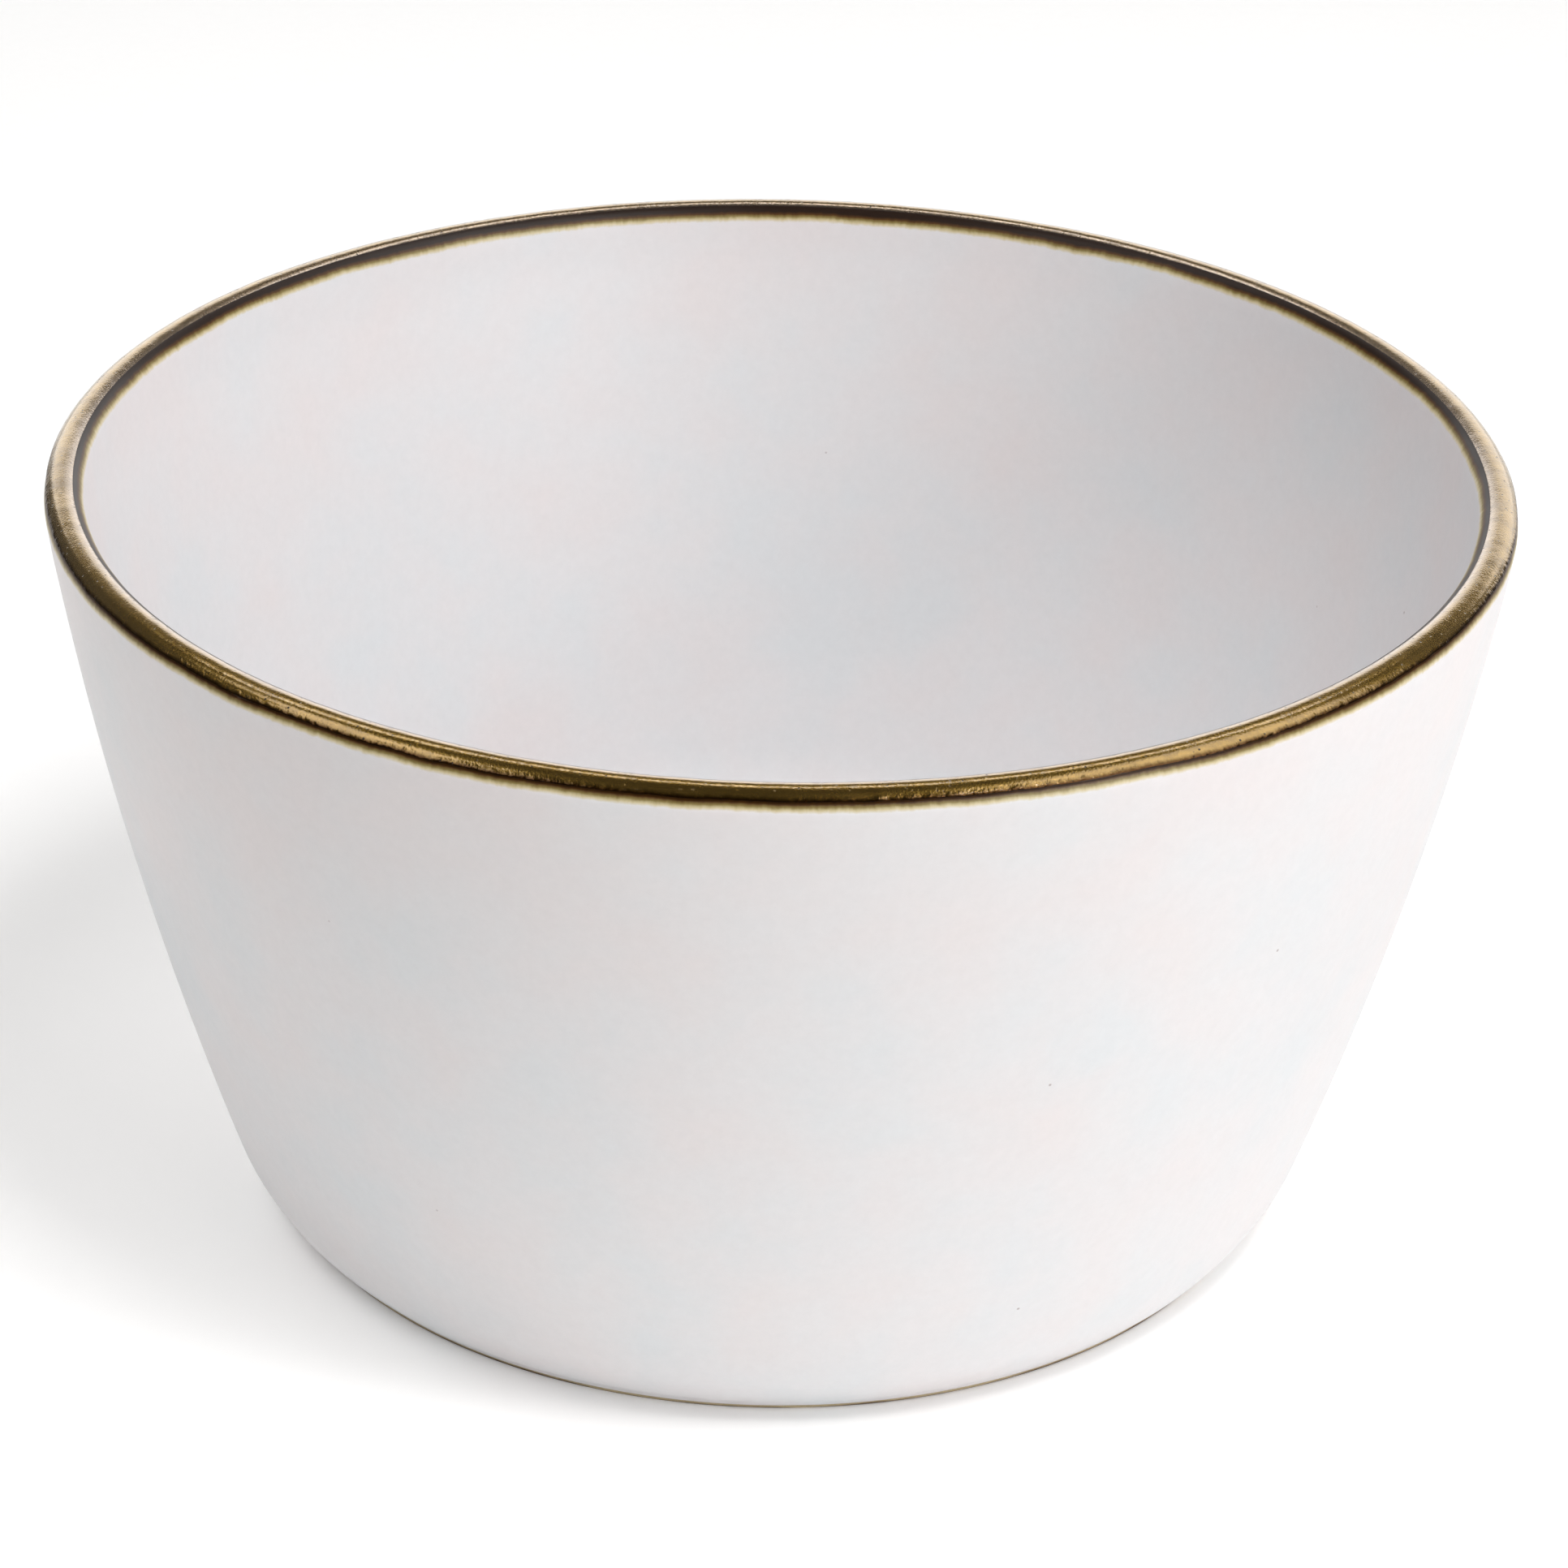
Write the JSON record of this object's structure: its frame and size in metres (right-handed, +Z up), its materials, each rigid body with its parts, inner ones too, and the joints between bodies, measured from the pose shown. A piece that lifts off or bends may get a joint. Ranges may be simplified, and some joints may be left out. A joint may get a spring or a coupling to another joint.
{
  "type": "serving bowl",
  "caption": "Deep steep-walled porcelain serving bowl on a low bare foot ring, white glaze inside and out, with an iron-brown and bronze glazed lip.",
  "frame": {"origin": "centre of the circle that the foot ring stands on, at the lowest plane of the bowl", "axes": "+Z up through the bowl's opening, the axis of revolution; +X and +Y are any two square directions along the table"},
  "size_m": [0.16, 0.16, 0.086],
  "materials": {
    "bare_porcelain": "fired unglazed porcelain, fine and matt",
    "bare_foot": "wiped bare foot, matt, toasted brown along its edge",
    "white_glaze": "satin white glaze with a faint warm mottle and rare pinholes",
    "iron_stain": "near-black iron brown stain that bleeds softly at its edges",
    "bronze_glaze": "glossy bronze-gold metallic glaze with fine dark pits"
  },
  "bodies": {
    "root": {"porcelain_body": "bare_porcelain", "foot_ring": "bare_foot", "outer_glaze": "white_glaze", "inner_glaze": "white_glaze", "base_glaze": "white_glaze", "rim_stain": "iron_stain", "rim_glaze": "bronze_glaze"}
  },
  "joints": []
}
